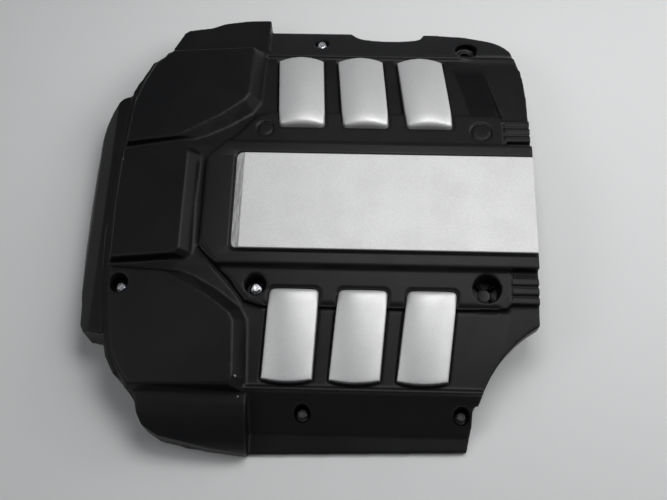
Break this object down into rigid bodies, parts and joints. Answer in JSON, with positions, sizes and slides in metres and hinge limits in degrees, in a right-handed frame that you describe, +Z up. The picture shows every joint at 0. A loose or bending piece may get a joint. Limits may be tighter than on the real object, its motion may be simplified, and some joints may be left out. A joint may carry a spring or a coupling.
{
  "type": "engine cover",
  "caption": "Moulded plastic engine cover with raised domes, a wide silver plate and two rows of silver trim caps, held by screws in rubber grommets.",
  "frame": {"origin": "middle of the rim's plane, on the underside of the cover", "axes": "+X along the plate towards its right end, +Y across it towards the side away from the camera, +Z up out of the engine bay"},
  "size_m": [0.568, 0.606, 0.086],
  "materials": {
    "shell_plastic": "satin black, fine moulded grain",
    "silver_satin": "satin silver paint",
    "silver_gloss": "semi-gloss silver paint",
    "plated_steel": "bright zinc plate",
    "sleeve_steel": "plain steel",
    "spring_steel": "dark spring steel",
    "rubber": "matte black"
  },
  "bodies": {
    "root": {"cover_shell": "shell_plastic", "centre_plate": "silver_satin", "trim_cap_far_1": "silver_gloss", "trim_cap_far_2": "silver_gloss", "trim_cap_far_3": "silver_gloss", "trim_cap_near_1": "silver_gloss", "trim_cap_near_2": "silver_gloss", "trim_cap_near_3": "silver_gloss", "screws_long": "plated_steel", "screws_short": "plated_steel", "grommet_left": "rubber", "grommet_shelf": "rubber", "grommet_far": "rubber", "grommet_skirt_mid": "rubber", "grommet_skirt_right": "rubber", "sleeve_left": "sleeve_steel", "sleeve_shelf": "sleeve_steel", "sleeve_far": "sleeve_steel", "sleeve_skirt_mid": "sleeve_steel", "sleeve_skirt_right": "sleeve_steel", "plate_nuts": "spring_steel", "cap_nuts": "spring_steel"}
  },
  "joints": []
}
